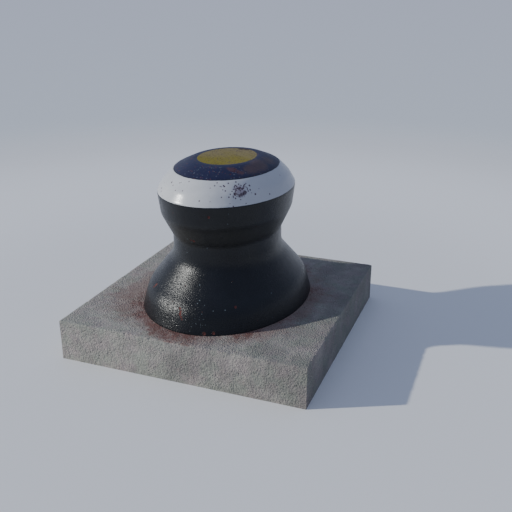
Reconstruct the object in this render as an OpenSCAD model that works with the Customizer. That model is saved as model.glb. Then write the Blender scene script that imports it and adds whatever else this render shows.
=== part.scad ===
/* [Block] */
// Side of the square concrete block
block_side = 1100; // [1040:10:1400]
// Height of the block, from its underside up to the deck
block_height = 180; // [150:5:260]
// Width of the small chamfer on the upper and upright edges of the block
arris = 2; // [1:0.5:10]

/* [Bollard widths across the short axis] */
// Width of the foot
foot_width = 731; // [700:1:880]
// Width at the knee, where the foot bends into the bell
knee_width = 685; // [640:1:696]
// Width of the waist that the mooring line lies round
waist_width = 462; // [380:1:530]
// Width where the flare under the head steepens
flare_width = 554; // [535:1:565]
// Width of the rim, the widest ring of the head
rim_width = 577; // [560:1:600]
// Width at the shoulder, the first bend above the rim
shoulder_width = 528; // [500:1:540]
// Width at the brow, the bend where the top of the head begins
brow_width = 441; // [400:1:470]
// Width of the flat crown
crown_width = 297; // [160:1:340]

/* [Bollard heights above the deck] */
// Height of the knee
knee_height = 88; // [60:1:100]
// Height of the lower end of the waist
waist_foot_height = 230; // [188:1:270]
// Height of the upper end of the waist
waist_top_height = 319; // [290:1:350]
// Height where the flare under the head steepens
flare_height = 419; // [395:1:440]
// Height of the rim
rim_height = 512; // [480:1:530]
// Height of the shoulder
shoulder_height = 556; // [545:1:570]
// Height of the brow
brow_height = 603; // [592:1:612]
// Height of the crown
crown_height = 636; // [626:1:660]

/* [Bollard length along the long axis] */
// Length of the foot, which draws out every ring of the bollard in the same proportion
foot_length = 935; // [760:5:960]

/* [Rounding of the bends] */
// Radius of the knee
knee_round = 150; // [60:5:200]
// Radius at the lower end of the waist
waist_foot_round = 100; // [20:5:120]
// Radius at the upper end of the waist
waist_top_round = 50; // [20:5:80]
// Radius of the flare under the head
flare_round = 75; // [40:5:160]
// Radius of the rim
rim_round = 25; // [8:1:40]
// Radius of the shoulder
shoulder_round = 80; // [20:5:120]
// Radius of the brow
brow_round = 100; // [40:5:140]
// Radius of the edge of the crown
crown_round = 80; // [30:5:120]

/* [Casting inside] */
// Thickness of the wall
wall = 30; // [22:1:36]
// Radius inside the bends that are too tight for the wall
inner_round = 12; // [8:1:20]
// Depth that the foot is let into the block, which is the thickness of its flange
seat_depth = 40; // [30:1:55]
// Reach of the foot flange inwards, from the outside of the foot
flange_reach = 112; // [106:1:135]
// Thickness of the ribs between the flange and the wall
rib_thickness = 20; // [12:1:30]
// Height of the ribs above the flange
rib_height = 90; // [50:5:120]
// Height of the toe of the ribs
rib_toe = 15; // [8:1:30]
// Distance that the toe of the ribs stands back from the opening
rib_setback = 12; // [4:1:20]

/* [Anchors] */
// Number of anchors, spread evenly round the foot
anchor_count = 6; // [4:2:8]
// Distance of the anchors inwards from the outside of the foot
anchor_inset = 72; // [68:1:76]
// Diameter of the studs
stud_d = 24; // [18:1:26]
// Clearance of the studs in the holes of the flange, across the diameter
hole_clearance = 4; // [2:1:6]
// Height of the foot of the studs above the underside of the block
stud_cover = 22; // [15:1:40]
// Length of stud past the outer face of each nut
stud_end = 5; // [2:1:10]
// Side of the square anchor plates
plate_side = 90; // [70:5:120]
// Thickness of the anchor plates
plate_thickness = 12; // [8:1:18]
// Thickness of the washers
washer_thickness = 4; // [3:0.5:6]
// Depth of the spot faces that seat the washers on the flange
spot_depth = 2; // [1:0.5:4]

/* [Hidden] */

iron_paint = [0.05, 0.06, 0.08];
concrete_grey = [0.56, 0.54, 0.51];
plain_steel = [0.45, 0.44, 0.43];

// Hexagon nuts and washers follow the stud in the usual proportions
nut_flats = 1.5 * stud_d;
nut_height = 0.9 * stud_d;
washer_d = 1.83 * stud_d;

// The ends of a nut are turned to a blunt cone, from a round face out past its corners
nut_face_d = 0.94 * nut_flats;
nut_cone_d = 1.2 * nut_flats;
nut_cone_height = (nut_cone_d - nut_face_d) / 2 * tan(30);

// Spot faces leave this margin round the washers
spot_margin = 4;
spot_d = washer_d + 2 * spot_margin;

// Largest share of the straight side beside a bend that its arc may take up
arc_share = 0.48;

// Facets of a full turn: of the oval casting, of an arc in its outline, and of the studs
turn_fn = 180;
arc_fn = 240;
stud_fn = 64;

// Half widths and half lengths of the ovals that the foot is set out from
foot_half = [foot_width / 2, foot_length / 2];
cavity_half = foot_half - [wall, wall];
opening_half = foot_half - [flange_reach, flange_reach];
anchor_half = foot_half - [anchor_inset, anchor_inset];

// Levels of the anchors
seat_level = block_height - seat_depth;
washer_level = block_height - spot_depth;
nut_level = washer_level + washer_thickness;
stud_top = nut_level + nut_height + stud_end;
plate_nut_level = stud_cover + stud_end;
plate_level = plate_nut_level + nut_height;

// Overlap that carries a cut clear of the face it opens
past = 1;

// Outside of the bollard from the foot to the crown: half width, height and radius of each bend
outside = [
    [foot_width / 2, 0, 0],
    [knee_width / 2, knee_height, knee_round],
    [waist_width / 2, waist_foot_height, waist_foot_round],
    [waist_width / 2, waist_top_height, waist_top_round],
    [flare_width / 2, flare_height, flare_round],
    [rim_width / 2, rim_height, rim_round],
    [shoulder_width / 2, shoulder_height, shoulder_round],
    [brow_width / 2, brow_height, brow_round],
    [crown_width / 2, crown_height, crown_round],
    [0, crown_height, 0]
];

function flat(corner) = [corner[0], corner[1]];
function unit(v) = v / norm(v);
function left_of(v) = [-v[1], v[0]];

// Turn at a corner, positive where the outline bulges outwards
function turn(list, i) = cross(flat(list[i]) - flat(list[i - 1]), flat(list[i + 1]) - flat(list[i]));

// Corner moved inwards by the wall, so that both sides beside it keep the full thickness
function moved_in(list, i) =
    let (
        before = left_of(unit(flat(list[i]) - flat(list[i - 1]))),
        after = left_of(unit(flat(list[i + 1]) - flat(list[i])))
    )
    flat(list[i]) + wall * (before + after) / (1 + before * after);

// Radius inside a bend, which shrinks behind a bulge and grows behind a hollow
function inner_radius(list, i) =
    turn(list, i) > 0 ? max(list[i][2] - wall, inner_round) : list[i][2] + wall;

// Inside of the wall, from the flange to the crown
last_bend = len(outside) - 2;
inside = concat(
    [[cavity_half[0], 0, inner_round]],
    [for (i = [1 : last_bend]) concat(moved_in(outside, i), inner_radius(outside, i))],
    [[0, crown_height - wall, 0]]
);

// Distance from a corner to the points where its arc starts and ends, kept within both sides
function arc_reach(a, b, c, r) =
    let (half = acos(unit(a - b) * unit(c - b)) / 2)
    min(r / tan(half), arc_share * norm(a - b), arc_share * norm(c - b));

// Ends, centre and radius of the arc that rounds the corner b between a and c
function arc_at(a, b, c, r) =
    let (
        u = unit(a - b),
        w = unit(c - b),
        half = acos(u * w) / 2,
        reach = arc_reach(a, b, c, r)
    )
    [b + u * reach, b + w * reach, b + unit(u + w) * reach / cos(half), reach * tan(half)];

function corner_arc(list, i) =
    arc_at(flat(list[i - 1]), flat(list[i]), flat(list[i + 1]), list[i][2]);

// Closed outline with true arcs at its bends. The polygon cuts each bend along its chord,
// and the slice between the chord and the arc is added at a bulge or taken away at a hollow.
module rounded_outline(list) {
    bends = [for (i = [1 : len(list) - 2]) if (list[i][2] > 0) i];
    difference() {
        union() {
            polygon([
                for (i = [0 : len(list) - 1])
                    for (p = list[i][2] > 0
                        ? [corner_arc(list, i)[0], corner_arc(list, i)[1]]
                        : [flat(list[i])]) p
            ]);
            for (i = bends)
                if (turn(list, i) > 0)
                    arc_slice(corner_arc(list, i), flat(list[i]));
        }
        for (i = bends)
            if (turn(list, i) < 0)
                arc_slice(corner_arc(list, i), flat(list[i]));
    }
}

// Slice of a disc between the chord and the arc, on the side of the corner
module arc_slice(arc, corner) {
    middle = (arc[0] + arc[1]) / 2;
    outwards = unit(corner - middle) * arc[3];
    intersection() {
        translate(arc[2])
        circle(r = arc[3], $fn = arc_fn);
        polygon([arc[0], arc[1], arc[1] + outwards, arc[0] + outwards]);
    }
}

// Solid turned from an outline in four quarters and drawn out along the long axis
module oval_turned(half) {
    for (quarter = [0 : 3])
        scale([1, half[1] / half[0], 1])
        rotate([0, 0, 90 * quarter])
        rotate_extrude(angle = 90, $fn = turn_fn)
        children();
}

module oval_plug(half, height) {
    oval_turned(half)
    square([half[0], height]);
}

// Angle of an anchor round the foot. Half a step on, it is that of the rib after the anchor.
function station(i) = 360 * (i - 0.5) / anchor_count;

function on_oval(half, angle) = [half[0] * cos(angle), half[1] * sin(angle), 0];

module at_anchor(i) {
    translate(on_oval(anchor_half, station(i)))
    children();
}

// Places its children on the outside of the foot after an anchor, facing out of the oval
module after_anchor(i) {
    angle = station(i + 0.5);
    translate(on_oval(foot_half, angle))
    rotate([0, 0, atan2(foot_half[0] * sin(angle), foot_half[1] * cos(angle))])
    children();
}

module hexagon_nut() {
    intersection() {
        cylinder(d = nut_flats / cos(30), h = nut_height, $fn = 6);
        rotate_extrude($fn = stud_fn)
        polygon([
            [0, 0], [nut_face_d / 2, 0],
            [nut_cone_d / 2, nut_cone_height], [nut_cone_d / 2, nut_height - nut_cone_height],
            [nut_face_d / 2, nut_height], [0, nut_height]
        ]);
    }
}

module stud() {
    translate([0, 0, stud_cover])
    cylinder(d = stud_d, h = stud_top - stud_cover, $fn = stud_fn);
}

module plate() {
    translate([-plate_side / 2, -plate_side / 2, plate_level])
    cube([plate_side, plate_side, plate_thickness]);
}

// Gusset between the flange and the wall. It runs on through the wall, and only its part
// in the cavity is kept.
module rib() {
    toe = flange_reach - rib_setback;
    slope_top = wall + rib_thickness;
    rotate([90, 0, 0])
    translate([0, 0, -rib_thickness / 2])
    linear_extrude(rib_thickness)
    polygon([
        [wall, -past], [-toe, -past], [-toe, rib_toe],
        [-slope_top - (foot_width - knee_width) / 2, rib_height], [wall, rib_height]
    ]);
}

module bollard_casting() {
    color(iron_paint)
    translate([0, 0, block_height])
    difference() {
        oval_turned(foot_half)
        rounded_outline(concat([[0, -seat_depth, 0], [foot_half[0], -seat_depth, 0]], outside));
        difference() {
            oval_turned(cavity_half)
            rounded_outline(concat([[0, 0, 0]], inside));
            for (i = [1 : anchor_count])
                after_anchor(i)
                rib();
        }
        translate([0, 0, -seat_depth - past])
        oval_plug(opening_half, seat_depth + 2 * past);
        for (i = [1 : anchor_count])
            at_anchor(i) {
                translate([0, 0, -seat_depth - past])
                cylinder(d = stud_d + hole_clearance, h = seat_depth + 2 * past, $fn = stud_fn);
                translate([0, 0, -spot_depth])
                cylinder(d = spot_d, h = spot_depth + past, $fn = stud_fn);
            }
    }
}

// Plan of the block, a square with its corners cut off by the arris
module block_plan() {
    half = block_side / 2;
    polygon([
        [-half + arris, -half], [half - arris, -half],
        [half, -half + arris], [half, half - arris],
        [half - arris, half], [-half + arris, half],
        [-half, half - arris], [-half, -half + arris]
    ]);
}

// Side view of the block, with the arris along its upper edges only
module block_view() {
    half = block_side / 2;
    polygon([
        [-half, 0], [half, 0],
        [half, block_height - arris], [half - arris, block_height],
        [-half + arris, block_height], [-half, block_height - arris]
    ]);
}

module plain_block() {
    intersection() {
        linear_extrude(block_height)
        block_plan();
        translate([0, block_side / 2, 0])
        rotate([90, 0, 0])
        linear_extrude(block_side)
        block_view();
        translate([-block_side / 2, 0, 0])
        rotate([90, 0, 90])
        linear_extrude(block_side)
        block_view();
    }
}

// Block cast round the foot and the anchors, with its middle rising into the opening of the flange
module concrete_block() {
    color(concrete_grey)
    difference() {
        plain_block();
        translate([0, 0, seat_level])
        difference() {
            oval_plug(foot_half, seat_depth + past);
            oval_plug(opening_half, seat_depth);
        }
        for (i = [1 : anchor_count])
            at_anchor(i) {
                stud();
                plate();
                translate([0, 0, plate_nut_level])
                hexagon_nut();
            }
    }
}

module anchor_studs() {
    color(plain_steel)
    for (i = [1 : anchor_count])
        at_anchor(i)
        stud();
}

module bored(diameter) {
    difference() {
        children();
        translate([0, 0, -past])
        cylinder(d = diameter, h = stud_top + past, $fn = stud_fn);
    }
}

module plate_nuts() {
    color(plain_steel)
    for (i = [1 : anchor_count])
        at_anchor(i)
        translate([0, 0, plate_nut_level])
        bored(stud_d)
        hexagon_nut();
}

module flange_nuts() {
    color(plain_steel)
    for (i = [1 : anchor_count])
        at_anchor(i)
        translate([0, 0, nut_level])
        bored(stud_d)
        hexagon_nut();
}

module flange_washers() {
    color(plain_steel)
    for (i = [1 : anchor_count])
        at_anchor(i)
        translate([0, 0, washer_level])
        bored(stud_d)
        cylinder(d = washer_d, h = washer_thickness, $fn = stud_fn);
}

module anchor_plate(i) {
    color(plain_steel)
    at_anchor(i)
    bored(stud_d)
    plate();
}

bollard_casting();
concrete_block();
anchor_studs();
plate_nuts();
flange_washers();
flange_nuts();
for (i = [1 : anchor_count])
    anchor_plate(i);
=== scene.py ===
import math
import random

import bmesh
import bpy
import numpy as np
from bpy.props import (
    FloatProperty,
    FloatVectorProperty,
    IntProperty,
    PointerProperty,
)
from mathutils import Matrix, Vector, kdtree, noise


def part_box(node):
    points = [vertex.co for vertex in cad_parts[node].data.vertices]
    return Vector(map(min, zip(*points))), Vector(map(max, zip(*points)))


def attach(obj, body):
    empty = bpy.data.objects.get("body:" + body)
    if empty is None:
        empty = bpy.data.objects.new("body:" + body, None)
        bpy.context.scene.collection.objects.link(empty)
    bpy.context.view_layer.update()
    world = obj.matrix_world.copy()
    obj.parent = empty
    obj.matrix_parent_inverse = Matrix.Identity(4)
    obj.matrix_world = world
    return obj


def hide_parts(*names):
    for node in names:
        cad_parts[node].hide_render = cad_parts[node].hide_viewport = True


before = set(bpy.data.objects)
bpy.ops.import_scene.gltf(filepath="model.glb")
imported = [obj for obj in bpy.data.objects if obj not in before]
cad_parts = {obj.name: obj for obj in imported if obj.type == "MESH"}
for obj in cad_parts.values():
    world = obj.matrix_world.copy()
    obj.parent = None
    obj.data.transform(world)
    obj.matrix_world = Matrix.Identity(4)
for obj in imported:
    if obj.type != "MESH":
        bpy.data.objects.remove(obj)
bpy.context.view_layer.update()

bl_info = {
    "name": "Mooring Bollard",
    "version": (1, 0, 0),
    "blender": (4, 5, 0),
    "location": "3D View > Sidebar > Bollard",
    "description": "Painted iron mooring bollard, its foot let into a square concrete block",
    "category": "Object",
}

CASTING_LOW, CASTING_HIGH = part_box("bollard_casting")
BLOCK_LOW, BLOCK_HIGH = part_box("concrete_block")
DECK = BLOCK_HIGH.z
SEAT = CASTING_LOW.z
FOOT = CASTING_HIGH.x
CROWN = CASTING_HIGH.z
HALF_BLOCK = BLOCK_HIGH.x
# The plan of the bollard is an oval: this many times as long as it is wide
DRAWN_OUT = CASTING_HIGH.y / CASTING_HIGH.x

# Outside of the casting, from the foot to the crown: half width, height above the deck, radius of the bend
BENDS = [
    (FOOT, 0.0, 0.0),
    (0.3425, 0.088, 0.150),
    (0.231, 0.230, 0.100),
    (0.231, 0.319, 0.050),
    (0.277, 0.419, 0.075),
    (0.2885, 0.512, 0.025),
    (0.264, 0.556, 0.080),
    (0.2205, 0.603, 0.100),
    (0.1485, 0.636, 0.080),
    (0.0, 0.636, 0.0),
]
# Height above the deck of the middle of the flare, under the head: round it the black is painted lighter, as painted
# light in the shade there, and is rougher
FLARE_MIDDLE = 0.368
# Soft swells of the bell and of the white band: between two heights above the deck, and how far each comes out
SWELLS = [(0.120, 0.268, 0.0165), (0.50, 0.602, 0.0066)]
# Largest share of the straight side beside a bend that its arc may take up
ARC_SHARE = 0.48
# Slack for telling on which face of the model a point lies
HAIR = 0.0005


# Settings


def colour_setting(name, description, default):
    return FloatVectorProperty(
        name=name, description=description, default=default, subtype="COLOR", size=3, min=0.0, max=1.0)


def length_setting(name, description, default, least, most):
    return FloatProperty(name=name, description=description, default=default, min=least, max=most, unit="LENGTH")


class BollardCastingSettings(bpy.types.PropertyGroup):
    """Sizes and paints of the iron casting"""

    facets: IntProperty(name="Facets Round", description="Facets of a full turn", default=400, min=64, max=512)
    row_height: length_setting("Row Height", "Distance between the rows of facets", 0.0062, 0.003, 0.02)
    waviness: length_setting("Waviness", "Depth of the waves that the sand mould left", 0.0003, 0.0, 0.003)
    seed: IntProperty(name="Seed", description="Seed of the pits in the paint", default=11, min=0)
    rim_line: length_setting("Rim Line", "Height above the deck of the line between black and white", 0.513, 0.4, 0.6)
    brow_line: length_setting(
        "Brow Line", "Height above the deck of the line between white and navy", 0.6005, 0.55, 0.63)
    disc_half_width: length_setting(
        "Disc Half Width", "Half of the width of the yellow disc on the crown", 0.1235, 0.05, 0.2)
    black: colour_setting("Black", "Paint of the bell, the waist and the flare", (0.0026, 0.0032, 0.0044))
    white: colour_setting("White", "Paint of the band between the rim and the brow", (0.55, 0.555, 0.56))
    navy: colour_setting("Navy", "Paint of the top of the head", (0.0045, 0.0048, 0.032))
    yellow: colour_setting("Yellow", "Paint of the disc on the crown", (0.19, 0.155, 0.004))
    rust: colour_setting("Rust", "Colour of the rust in chips and pits", (0.13, 0.032, 0.026))


class ConcreteBlockSettings(bpy.types.PropertyGroup):
    """Sizes and colours of the concrete block"""

    facets: IntProperty(name="Facets Round", description="Facets round the block", default=880, min=80, max=1200)
    rings: IntProperty(name="Rings", description="Rings of facets on the deck", default=36, min=8, max=60)
    rows: IntProperty(name="Rows", description="Rows of facets up the sides", default=30, min=6, max=60)
    arris: length_setting("Arris", "Width of the chamfer on the upper edges", 0.002, 0.001, 0.01)
    waviness: length_setting("Waviness", "Depth of the waves that the shuttering left", 0.0006, 0.0, 0.004)
    seed: IntProperty(name="Seed", description="Seed of the air holes and the chips", default=5, min=0)
    pale: colour_setting("Pale Grey", "Colour of the cement skin", (0.43, 0.398, 0.355))
    # Dark grey also paints the shade towards +X of the block
    dark: colour_setting("Dark Grey", "Colour of the grit and the damp places", (0.185, 0.174, 0.160))
    wash: colour_setting("Rust Wash", "Colour of the thin rust washed over the deck", (0.235, 0.165, 0.145))
    stain: colour_setting("Rust Stain", "Colour of the fresh rust beside the foot", (0.14, 0.060, 0.050))


class AnchorSettings(bpy.types.PropertyGroup):
    """Colours of the hidden anchors"""

    steel: colour_setting("Steel", "Bare steel of the studs, nuts, washers and plates", (0.42, 0.41, 0.40))


class StageSettings(bpy.types.PropertyGroup):
    """Camera, floor and light"""

    eye: FloatVectorProperty(
        name="Eye", description="Place of the camera", subtype="TRANSLATION",
        size=3, default=(1.2024, -2.7745, 1.5366))
    tilt: FloatProperty(
        name="Tilt", description="Camera's turn up from straight down",
        default=math.radians(68.575), subtype="ANGLE")
    heading: FloatProperty(
        name="Heading", description="Camera's turn to the left of +Y",
        default=math.radians(21.076), subtype="ANGLE")
    lens: FloatProperty(name="Lens", description="Focal length on a 36 mm sensor", default=50.0, min=10.0)
    floor_radius: FloatProperty(
        name="Floor Radius", description="Distance at which the floor has faded out",
        default=5.9, min=3.0, unit="LENGTH")
    floor: colour_setting("Floor", "Colour of the floor", (0.755, 0.755, 0.75))
    sun_height: FloatProperty(
        name="Key Height", description="Height of the key light above the horizon",
        default=math.radians(24.3), subtype="ANGLE")
    sun_heading: FloatProperty(
        name="Key Heading", description="Direction that the key light comes from, turned from +X",
        default=math.radians(-154.1), subtype="ANGLE")
    sun_power: FloatProperty(name="Key Power", description="Strength of the key light", default=3.6, min=0.0)


# Rings of points, and surfaces laid from them


def turn_of(point):
    """Place of a point round the oval, from 0 to 1."""
    return math.atan2(point[1] / DRAWN_OUT, point[0]) / (2 * math.pi) % 1.0


class Surface:
    """Points and faces, laid as rings that are joined one to the next from the lowest up."""

    def __init__(self):
        self.points = []
        self.faces = []

    def ring(self, points):
        first = len(self.points)
        self.points.extend(points)
        return list(range(first, len(self.points)))

    def join(self, low, high):
        """Faces between two rings. Rings of unlike counts are joined by triangles, in the order of their turns."""
        if len(low) == len(high):
            count = len(low)
            for i in range(count):
                j = (i + 1) % count
                self.faces.append((low[i], low[j], high[j], high[i]))
            return
        turns = []
        for ring in (low, high):
            at = [turn_of(self.points[i]) for i in ring]
            start = at.index(min(at))
            ring[:] = ring[start:] + ring[:start]
            at = at[start:] + at[:start]
            turns.append(at + [at[0] + 1.0])
        i = j = 0
        while i < len(low) or j < len(high):
            if j == len(high) or (i < len(low) and turns[0][i + 1] <= turns[1][j + 1]):
                self.faces.append((low[i], low[(i + 1) % len(low)], high[j % len(high)]))
                i += 1
            else:
                self.faces.append((low[i % len(low)], high[(j + 1) % len(high)], high[j]))
                j += 1

    def close(self, ring):
        """Fan of faces from the last ring to the middle."""
        middle = Vector((0, 0, 0))
        for i in ring:
            middle += Vector(self.points[i])
        centre = self.ring([tuple(middle / len(ring))])[0]
        for i, a in enumerate(ring):
            self.faces.append((a, ring[(i + 1) % len(ring)], centre))


def oval_ring(half_width, height, count):
    return [
        (half_width * math.cos(t), DRAWN_OUT * half_width * math.sin(t), height)
        for t in (2 * math.pi * i / count for i in range(count))
    ]


def rounded(bends):
    """Corners with their arcs, as straight runs and arcs of points a degree or so apart."""
    corners = [np.array(b[:2]) for b in bends]
    points = [corners[0]]
    for i in range(1, len(bends) - 1):
        back, ahead = corners[i - 1] - corners[i], corners[i + 1] - corners[i]
        u, w = back / np.linalg.norm(back), ahead / np.linalg.norm(ahead)
        half = math.acos(float(np.clip(u @ w, -1, 1))) / 2
        reach = min(
            bends[i][2] / math.tan(half),
            ARC_SHARE * np.linalg.norm(back),
            ARC_SHARE * np.linalg.norm(ahead),
        )
        middle = u + w
        centre = corners[i] + middle / np.linalg.norm(middle) * reach / math.cos(half)
        radius = reach * math.tan(half)
        start = corners[i] + u * reach - centre
        end = corners[i] + w * reach - centre
        sweep = math.atan2(start[0] * end[1] - start[1] * end[0], start @ end)
        steps = max(2, int(abs(math.degrees(sweep))))
        for s in range(steps + 1):
            c, d = math.cos(sweep * s / steps), math.sin(sweep * s / steps)
            points.append(centre + np.array([c * start[0] - d * start[1], d * start[0] + c * start[1]]))
    points.append(corners[-1])
    return np.array(points)


def evenly(points, step):
    """The same run of points at an even distance."""
    along = np.concatenate([[0.0], np.cumsum(np.linalg.norm(np.diff(points, axis=0), axis=1))])
    at = np.linspace(0.0, along[-1], max(2, round(along[-1] / step) + 1))
    return np.stack([np.interp(at, along, points[:, i]) for i in (0, 1)], axis=1)


def kept_inside(node, keep):
    """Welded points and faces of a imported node, with only the faces whose middle keep() accepts."""
    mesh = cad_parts[node].data
    places = np.empty(len(mesh.vertices) * 3, np.float32)
    mesh.vertices.foreach_get("co", places)
    places = places.reshape(-1, 3).astype(float)
    welded, number = np.unique(np.round(places, 6), axis=0, return_inverse=True)
    number = number.reshape(-1)
    faces = []
    for polygon in mesh.polygons:
        corners = [int(number[v]) for v in polygon.vertices]
        if len(set(corners)) == len(corners) and keep(welded[corners].mean(axis=0)):
            faces.append(corners)
    used = sorted({v for f in faces for v in f})
    place = {v: i for i, v in enumerate(used)}
    return [tuple(welded[v]) for v in used], [[place[v] for v in f] for f in faces]


def open_edge(faces):
    """Points on the open edge of a list of faces."""
    seen = {}
    for f in faces:
        for a, b in zip(f, f[1:] + f[:1]):
            key = (min(a, b), max(a, b))
            seen[key] = seen.get(key, 0) + 1
    return sorted({v for edge, count in seen.items() if count == 1 for v in edge})


def oval_distance(point):
    return math.hypot(point[0], point[1] / DRAWN_OUT)


OUTLINE = evenly(rounded(BENDS), 0.002)


def place_on_oval(degrees, height):
    """Point on the outside of the casting, at an angle round the oval and a height above the deck."""
    half = float(np.interp(height, OUTLINE[:, 1], OUTLINE[:, 0]))
    t = math.radians(degrees)
    return Vector((half * math.cos(t), DRAWN_OUT * half * math.sin(t), DECK + height))


# Marks: pits, chips and air holes, sunk into a surface


# Width round a mark in which the facets are split as well, at the first pass
SPLIT_PAD = 0.004
# Reach of a mark's colour in radii, and how uneven its edge is: share of the radius, and waves to the metre
MARK_REACH = 1.6
MARK_UNEVEN = 0.35
MARK_WAVES = 260


class Mark:
    """A round pit in a surface: its middle, radius and depth, and what fills it."""

    def __init__(self, place, radius, depth, kind="rust"):
        self.place = Vector(place)
        self.radius = radius
        self.depth = depth
        self.kind = kind


def split_near(bm, marks, reach, passes):
    """Splits the edges round each mark, so that it has a shape of its own."""
    for level in range(passes):
        chosen = set()
        bm.verts.ensure_lookup_table()
        tree = kdtree.KDTree(len(bm.verts))
        for i, v in enumerate(bm.verts):
            tree.insert(v.co, i)
        tree.balance()
        pad = SPLIT_PAD / (level + 1)
        for mark in marks:
            for _, i, _ in tree.find_range(mark.place, mark.radius * reach + pad):
                chosen.update(bm.verts[i].link_edges)
        bmesh.ops.subdivide_edges(bm, edges=list(chosen), cuts=1, use_grid_fill=True)
    bmesh.ops.triangulate(bm, faces=[f for f in bm.faces if len(f.verts) > 4])


def sink(bm, marks, layers, relief):
    """Moves every point inwards by its relief and by the marks it lies in, and notes the marks in the layers."""
    bm.normal_update()
    points = list(bm.verts)
    normals = [v.normal.copy() for v in points]
    plain = [relief(v.co) for v in points]
    depth = list(plain)
    tree = kdtree.KDTree(len(points))
    for i, v in enumerate(points):
        tree.insert(v.co, i)
    tree.balance()
    for mark in marks:
        layer = layers.get(mark.kind)
        for co, i, distance in tree.find_range(mark.place, mark.radius * MARK_REACH):
            uneven = 1 + MARK_UNEVEN * noise.noise(co * MARK_WAVES)
            share = distance / (mark.radius * uneven)
            if share < 1:
                depth[i] = max(depth[i], plain[i] + mark.depth * (1 - share * share))
            if layer is not None:
                points[i][layer] = max(points[i][layer], min(1.0, 1.5 * (1.25 - share)))
    for v, n, d in zip(points, normals, depth):
        v.co -= n * max(0.0, d)


def surface_mesh(surface, name, marks, kinds, reach, passes, relief):
    """Mesh of a surface with its marks cut in."""
    bm = bmesh.new()
    layers = {kind: bm.verts.layers.float.new(kind) for kind in kinds}
    verts = [bm.verts.new(p) for p in surface.points]
    for f in surface.faces:
        bm.faces.new([verts[i] for i in f])
    split_near(bm, marks, reach, passes)
    sink(bm, marks, layers, relief)
    mesh = bpy.data.meshes.new(name)
    bm.to_mesh(mesh)
    bm.free()
    return mesh


# Marks that stand out on the casting, as angle round the oval in degrees, height above the deck and radius:
# blotches of the white band, first those in the sore place, chips down to rust, pale specks, and pits in sound paint
SORE_BLOTCHES = [
    (305, 0.558, 0.0044), (312, 0.553, 0.0050), (308.5, 0.549, 0.0040), (309, 0.572, 0.0040), (306, 0.583, 0.0030),
    (314, 0.560, 0.0034),
]
BLOTCHES = [
    (307, 0.594, 0.0038), (287, 0.586, 0.0034), (296, 0.583, 0.0040), (305, 0.579, 0.0036), (297, 0.569, 0.0034),
    (294, 0.549, 0.0028), (300, 0.548, 0.0034), (322, 0.546, 0.0044), (335, 0.533, 0.0034), (319, 0.577, 0.0044),
    (276, 0.536, 0.0032), (289, 0.595, 0.0030), (259, 0.592, 0.0030), (237, 0.574, 0.0040), (242, 0.568, 0.0036),
    (249, 0.557, 0.0030), (225, 0.539, 0.0042), (228, 0.530, 0.0040), (313, 0.520, 0.0030), (303, 0.515, 0.0030),
]
RUST_CHIPS = [
    (284, 0.473, 0.0064), (265, 0.347, 0.0066), (262, 0.349, 0.0044), (228, 0.119, 0.0090), (227, 0.109, 0.0062),
    (264, 0.092, 0.0056), (265, 0.082, 0.0064), (265, 0.072, 0.0070), (266, 0.062, 0.0060), (267, 0.054, 0.0044),
    (283, 0.009, 0.0086), (289, 0.011, 0.0080), (303, 0.102, 0.0066),
]
PALE_SPECKS = [
    (274, 0.174, 0.0028), (277, 0.127, 0.0030), (276, 0.117, 0.0028), (296, 0.096, 0.0032), (288, 0.095, 0.0026),
    (258, 0.630, 0.0030), (276, 0.632, 0.0030), (290, 0.634, 0.0026), (289, 0.623, 0.0030), (316, 0.631, 0.0026),
]
BARE_PITS = [(248, 0.180, 0.0042), (253, 0.081, 0.0046), (259, 0.067, 0.0044), (262, 0.074, 0.0042)]
# Specks on the disc, as x, y and radius
DISC_SPECKS = [
    (-0.022, -0.052, 0.0032), (-0.032, -0.123, 0.0030), (0.082, -0.039, 0.0034), (0.055, -0.107, 0.0032),
    (0.0, 0.109, 0.0040), (0.012, 0.114, 0.0030),
]

# Stains on the casting, laid out in the same ways: the bruise round the sore place of the white band, rust on the
# navy beside the disc, fresh and as a haze, and rust at the edge of the disc
WHITE_BRUISE = (309.5, 0.566, 0.046)
RUST_PATCHES = [(301, 0.630, 0.034), (309, 0.624, 0.040), (316, 0.615, 0.030)]
RUST_HAZES = [(326, 0.620, 0.056), (341, 0.622, 0.072), (352, 0.628, 0.066), (12, 0.622, 0.060)]
DISC_RUST = [(0.005, 0.150, 0.034), (0.034, 0.146, 0.030)]


# Rust on the deck round the foot, as angle round the oval and its spread, reach beyond the foot, and strength:
# thin and washed over the deck, and fresh beside the foot
WASHED = [
    (178, 15, 0.12, 0.75), (199, 14, 0.17, 1.00), (218, 12, 0.14, 0.95), (238, 13, 0.07, 0.95), (258, 13, 0.08, 1.00),
    (277, 12, 0.09, 0.95), (304, 13, 0.07, 0.90), (322, 12, 0.09, 0.80), (343, 14, 0.09, 0.80), (10, 16, 0.11, 1.00),
    (45, 18, 0.09, 0.65), (80, 18, 0.09, 0.75), (112, 16, 0.10, 0.65), (146, 18, 0.10, 0.70),
]
FRESH = [
    (199, 8, 0.12, 0.70), (214, 9, 0.07, 0.85), (230, 10, 0.05, 1.00), (248, 9, 0.06, 1.25), (263, 9, 0.07, 1.25),
    (279, 8, 0.07, 1.00), (304, 8, 0.05, 1.15), (315, 7, 0.08, 0.75), (336, 9, 0.06, 0.75), (14, 10, 0.08, 0.95),
    (46, 9, 0.06, 0.60), (88, 10, 0.06, 0.80), (111, 9, 0.06, 0.70), (138, 10, 0.07, 0.65), (163, 9, 0.06, 0.60),
]


# Materials


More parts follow.
